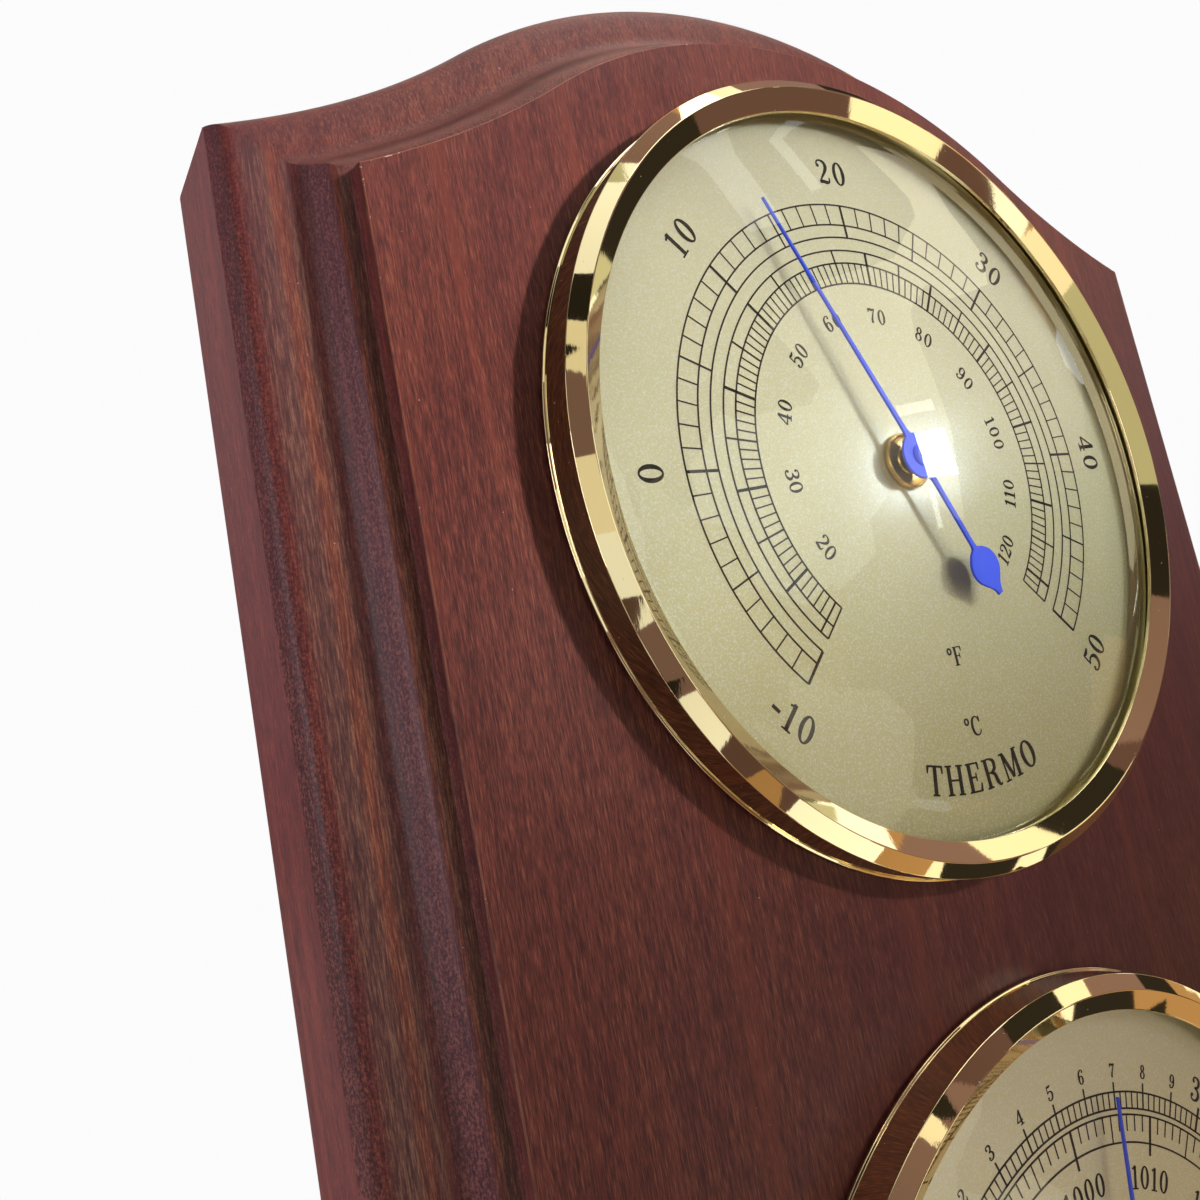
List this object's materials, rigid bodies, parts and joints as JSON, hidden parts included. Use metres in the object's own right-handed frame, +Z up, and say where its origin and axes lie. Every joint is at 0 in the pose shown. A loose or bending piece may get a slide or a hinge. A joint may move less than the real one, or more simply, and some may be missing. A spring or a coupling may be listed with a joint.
{
  "type": "wall weather station with hygrometer",
  "caption": "Wall-hung weather station: moulded mahogany plaque with crowned top, brass-bezelled thermometer, barometer and hygrometer dials under domed glass, blue hands.",
  "frame": {"origin": "on the flat back of the plaque, in the middle of the wood between the upper and the middle bore", "axes": "+Z up, +X to the viewer's right, +Y towards the wall, so the dials face -Y"},
  "size_m": [0.13, 0.0293, 0.3116],
  "materials": {
    "mahogany": "mahogany-stained hardwood, satin lacquer",
    "polished_brass": "mirror polished",
    "clear_glass": "clear, domed",
    "brushed_gold_dial": "brushed champagne gold",
    "brass": "turned",
    "steel": "plain",
    "zinc_steel": "zinc plated",
    "blue_hand": "royal-blue enamel",
    "bimetal": "rolled bimetal strip",
    "sensing_strip": "fibre-coated strip"
  },
  "bodies": {
    "plaque": {"baro_bezel": "polished_brass", "baro_bush": "brass", "baro_capsule_base": "brass", "baro_case": "zinc_steel", "baro_dial": "brushed_gold_dial", "baro_glass": "clear_glass", "baro_stand": "brass", "board": "mahogany", "hanger_plate": "steel", "hanger_screw_l": "zinc_steel", "hanger_screw_r": "zinc_steel", "hygro_bezel": "polished_brass", "hygro_bush": "brass", "hygro_case": "zinc_steel", "hygro_coil": "sensing_strip", "hygro_dial": "brushed_gold_dial", "hygro_glass": "clear_glass", "hygro_post": "brass", "thermo_bezel": "polished_brass", "thermo_bush": "brass", "thermo_case": "zinc_steel", "thermo_coil": "bimetal", "thermo_dial": "brushed_gold_dial", "thermo_glass": "clear_glass", "thermo_post": "brass"},
    "thermo_hand_set": {"thermo_arbor": "steel", "thermo_collet": "brass", "thermo_hand": "blue_hand"},
    "hygro_hand_set": {"hygro_arbor": "steel", "hygro_collet": "brass", "hygro_hand": "blue_hand"},
    "baro_hand_set": {"baro_arbor": "steel", "baro_drum": "brass", "baro_hand": "blue_hand"},
    "baro_rocker_set": {"baro_rocker": "steel"},
    "baro_capsule_moving": {"baro_capsule_top": "brass"},
    "baro_adjuster_screw": {"baro_adjuster": "brass"}
  },
  "joints": [
    {"name": "thermo_hand_turn", "type": "hinge", "parent": "plaque", "child": "thermo_hand_set", "pos_m": [0, -0.022, 0.04815], "axis": [0, 1, 0], "range_deg": [-112, 163], "deforming": ["thermo_coil"]},
    {"name": "hygro_hand_turn", "type": "hinge", "parent": "plaque", "child": "hygro_hand_set", "pos_m": [0, -0.022, -0.14445], "axis": [0, 1, 0], "range_deg": [-117, 153], "deforming": ["hygro_coil"]},
    {"name": "baro_hand_turn", "type": "hinge", "parent": "plaque", "child": "baro_hand_set", "pos_m": [0, -0.022, -0.04815], "axis": [0, 1, 0], "range_deg": [-130, 118]},
    {"name": "baro_rocker_tilt", "type": "hinge", "parent": "plaque", "child": "baro_rocker_set", "pos_m": [-0.007, -0.0175, -0.04815], "axis": [0, 0, 1], "range_deg": [-1.75, 1.92]},
    {"name": "baro_capsule_rise", "type": "slide", "parent": "plaque", "child": "baro_capsule_moving", "axis": [0, -1, 0], "range_m": [-0.00045, 0.000495]},
    {"name": "baro_adjuster_turn", "type": "hinge", "parent": "plaque", "child": "baro_adjuster_screw", "pos_m": [0.018, -0.022, -0.04815], "axis": [0, 1, 0], "range_deg": [-180, 180]}
  ],
  "couplings": [
    {"joint": "baro_rocker_tilt", "follows": "baro_capsule_rise", "rad_per_m": 66.642},
    {"joint": "baro_hand_turn", "follows": "baro_capsule_rise", "rad_per_m": -4559.7}
  ]
}
